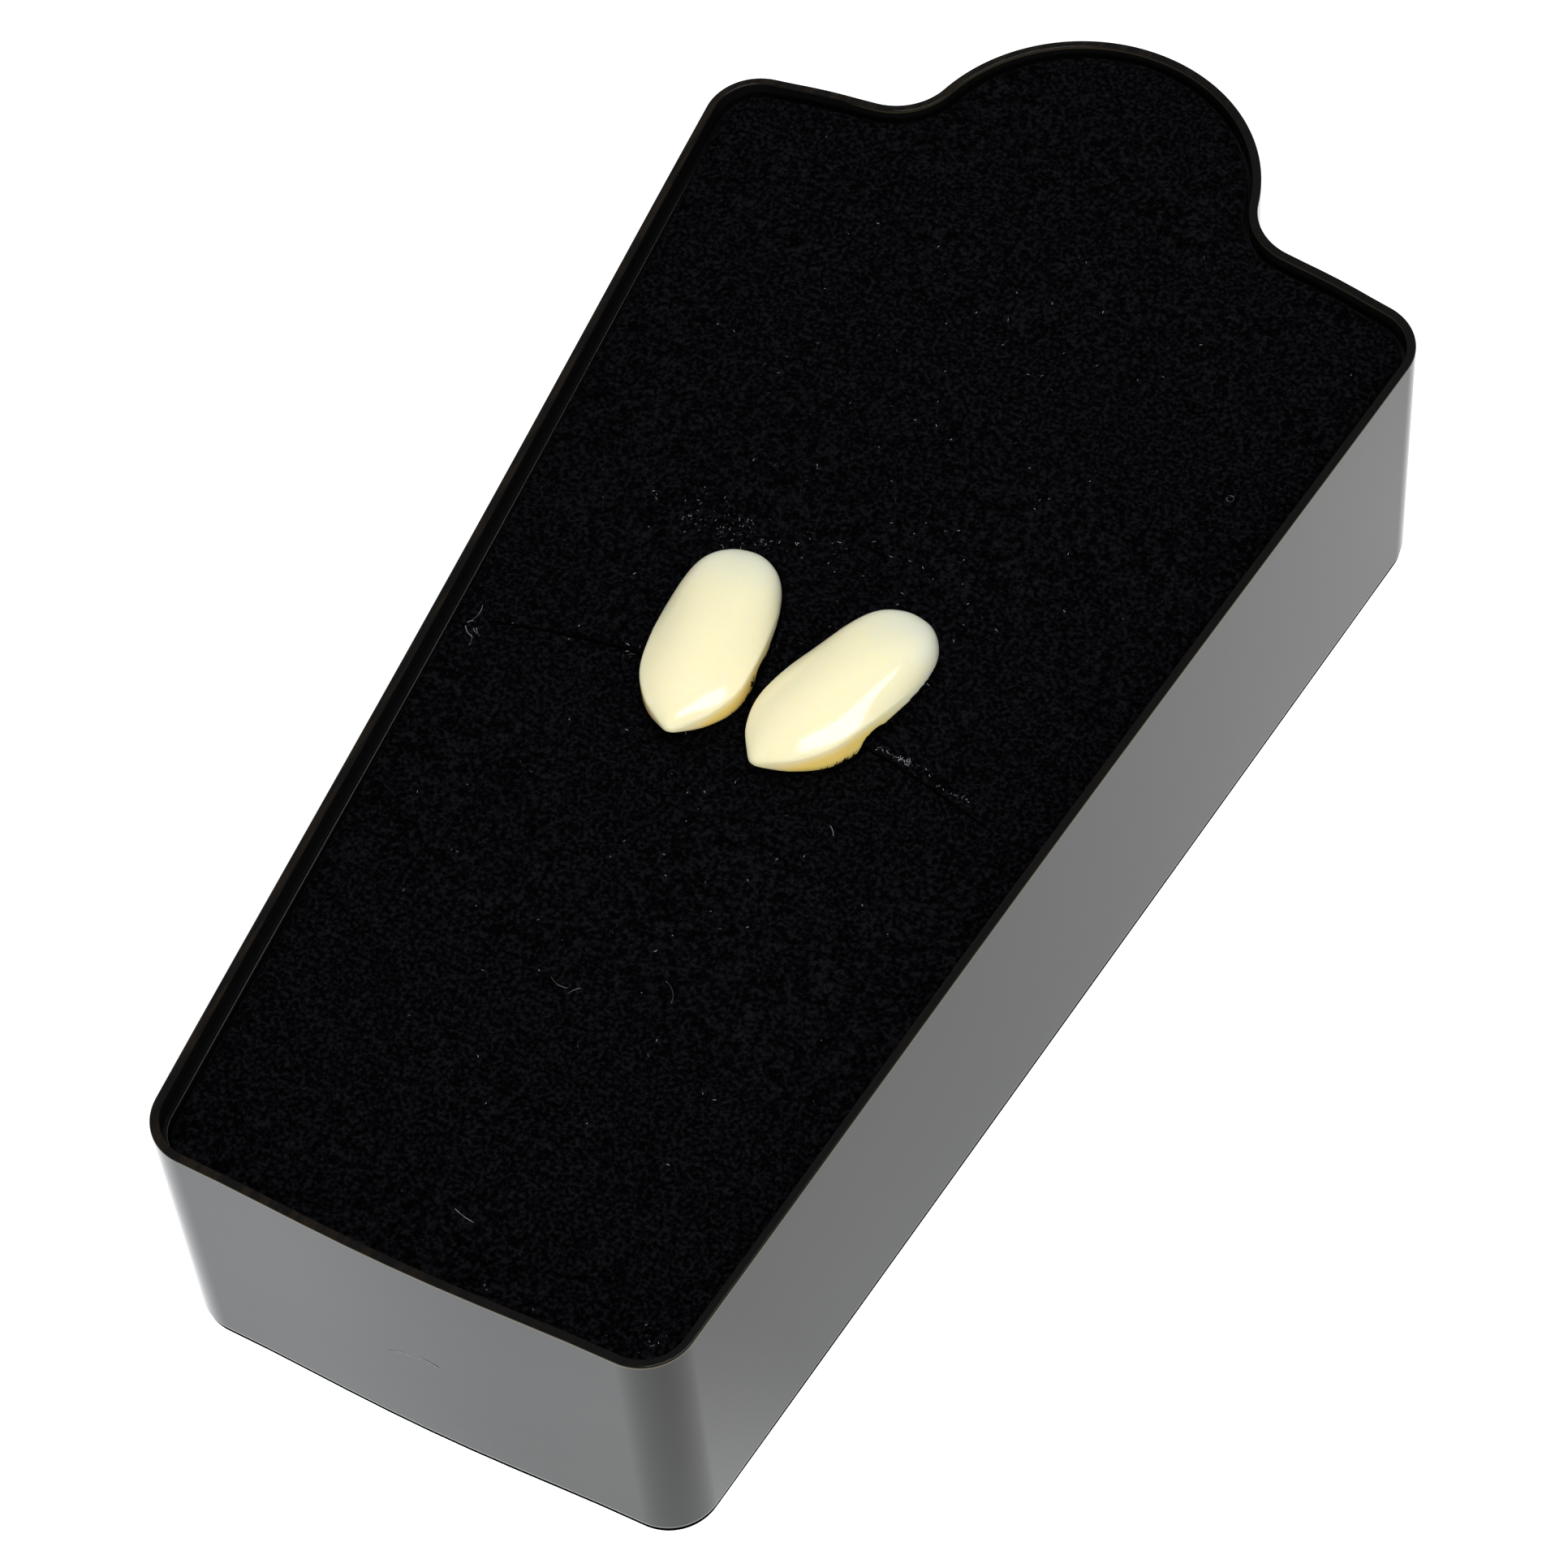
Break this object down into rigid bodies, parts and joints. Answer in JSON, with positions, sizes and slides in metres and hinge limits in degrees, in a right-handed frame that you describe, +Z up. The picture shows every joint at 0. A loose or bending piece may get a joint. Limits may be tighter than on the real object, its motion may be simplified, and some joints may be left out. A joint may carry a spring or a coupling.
{
  "type": "pair of vampire fang tooth caps in an open presentation box",
  "caption": "Pair of hollow ivory fang tooth caps held in the slit of a black flocked foam pad, in an open black plastic tray with tapering sides and an arched head.",
  "frame": {"origin": "centre of the box around the whole object, on the flat underside of the tray", "axes": "+Z up, +Y from the narrow foot of the tray to its arched head, +X to the right when the foot is nearest"},
  "size_m": [0.0522, 0.1042, 0.0237],
  "materials": {
    "tray_plastic": "glossy moulded black plastic",
    "flock": "short dull black flock with pale lint",
    "tooth": "polished ivory tooth acrylic, greyer at the gum end"
  },
  "bodies": {
    "root": {"tray": "tray_plastic", "foam_pad": "flock", "fang_left": "tooth", "fang_right": "tooth"}
  },
  "joints": []
}
